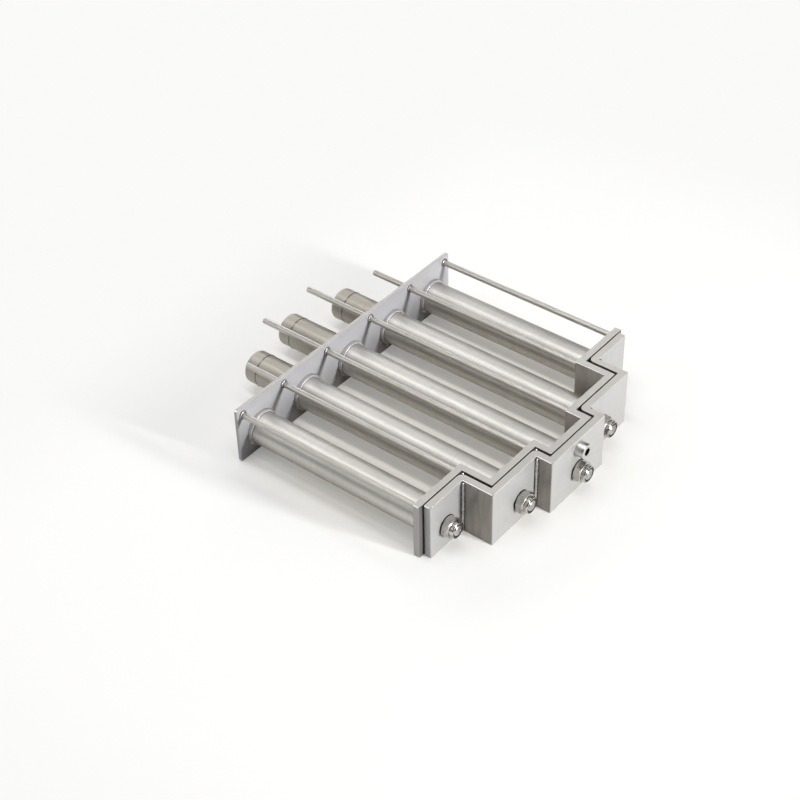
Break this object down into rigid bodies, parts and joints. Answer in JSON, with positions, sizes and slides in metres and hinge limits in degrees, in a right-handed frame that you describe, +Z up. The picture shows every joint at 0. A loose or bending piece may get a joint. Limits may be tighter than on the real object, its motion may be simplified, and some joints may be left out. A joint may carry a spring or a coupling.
{
  "type": "hopper magnet",
  "caption": "Pull-out hopper magnet: a row of steel-sleeved magnet bars on a stepped carrier slides out of a stepped frame with a guide plate and tie rods.",
  "frame": {"origin": "centre of the whole outline in plan, on the plane the object stands on", "axes": "+X along the magnet bars from the flat rear plate towards the stepped front, the way the pack pulls out; +Y across the row of bars; +Z up"},
  "size_m": [0.2436, 0.214, 0.041],
  "materials": {
    "rear_plate_steel": "rolled stainless sheet, satin",
    "frame_steel": "rolled stainless flat bar, satin",
    "carrier_steel": "fine satin stainless flat bar",
    "weld_steel": "rippled stainless weld metal",
    "rod_steel": "drawn stainless rod",
    "collar_steel": "turned stainless ring",
    "bar_steel": "fine circumferential satin stainless tube",
    "nut_steel": "bright pressed stainless",
    "insert_nylon": "dark nylon",
    "seal_rubber": "black rubber sealing washer",
    "screw_steel": "bright stainless",
    "magnet_alloy": "plated sintered magnet",
    "pole_steel": "turned mild steel"
  },
  "bodies": {
    "frame": {"frame_face_strip_1": "frame_steel", "frame_face_strip_2": "frame_steel", "frame_face_strip_3": "frame_steel", "frame_face_strip_4": "frame_steel", "frame_face_strip_5": "frame_steel", "frame_step_strip_1": "frame_steel", "frame_step_strip_2": "frame_steel", "frame_step_strip_3": "frame_steel", "frame_step_strip_4": "frame_steel", "frame_weld_beads": "weld_steel", "guide_collar_1": "collar_steel", "guide_collar_2": "collar_steel", "guide_collar_3": "collar_steel", "guide_collar_4": "collar_steel", "guide_collar_5": "collar_steel", "rear_plate": "rear_plate_steel", "tie_rod_1": "rod_steel", "tie_rod_2": "rod_steel", "tie_rod_3": "rod_steel", "tie_rod_4": "rod_steel", "tie_rod_5": "rod_steel", "tie_rod_6": "rod_steel"},
    "magnet_pack": {"bar_1_head_plug": "bar_steel", "bar_1_sleeve": "bar_steel", "bar_1_tail_cap": "bar_steel", "bar_2_head_plug": "bar_steel", "bar_2_sleeve": "bar_steel", "bar_2_tail_cap": "bar_steel", "bar_3_head_plug": "bar_steel", "bar_3_sleeve": "bar_steel", "bar_3_tail_cap": "bar_steel", "bar_4_head_plug": "bar_steel", "bar_4_sleeve": "bar_steel", "bar_4_tail_cap": "bar_steel", "bar_5_head_plug": "bar_steel", "bar_5_sleeve": "bar_steel", "bar_5_tail_cap": "bar_steel", "bar_magnets": "magnet_alloy", "bar_pole_pieces": "pole_steel", "cap_screw": "screw_steel", "carrier_face_strip_1": "carrier_steel", "carrier_face_strip_2": "carrier_steel", "carrier_face_strip_3": "carrier_steel", "carrier_face_strip_4": "carrier_steel", "carrier_face_strip_5": "carrier_steel", "carrier_step_strip_1": "carrier_steel", "carrier_step_strip_2": "carrier_steel", "carrier_step_strip_3": "carrier_steel", "carrier_step_strip_4": "carrier_steel", "carrier_weld_beads": "weld_steel", "nyloc_nuts": "nut_steel", "nylon_inserts": "insert_nylon", "sealing_washers": "seal_rubber"}
  },
  "joints": [
    {"name": "pack_slide", "type": "slide", "parent": "frame", "child": "magnet_pack", "axis": [1, 0, 0], "range_m": [0, 0.235]}
  ]
}
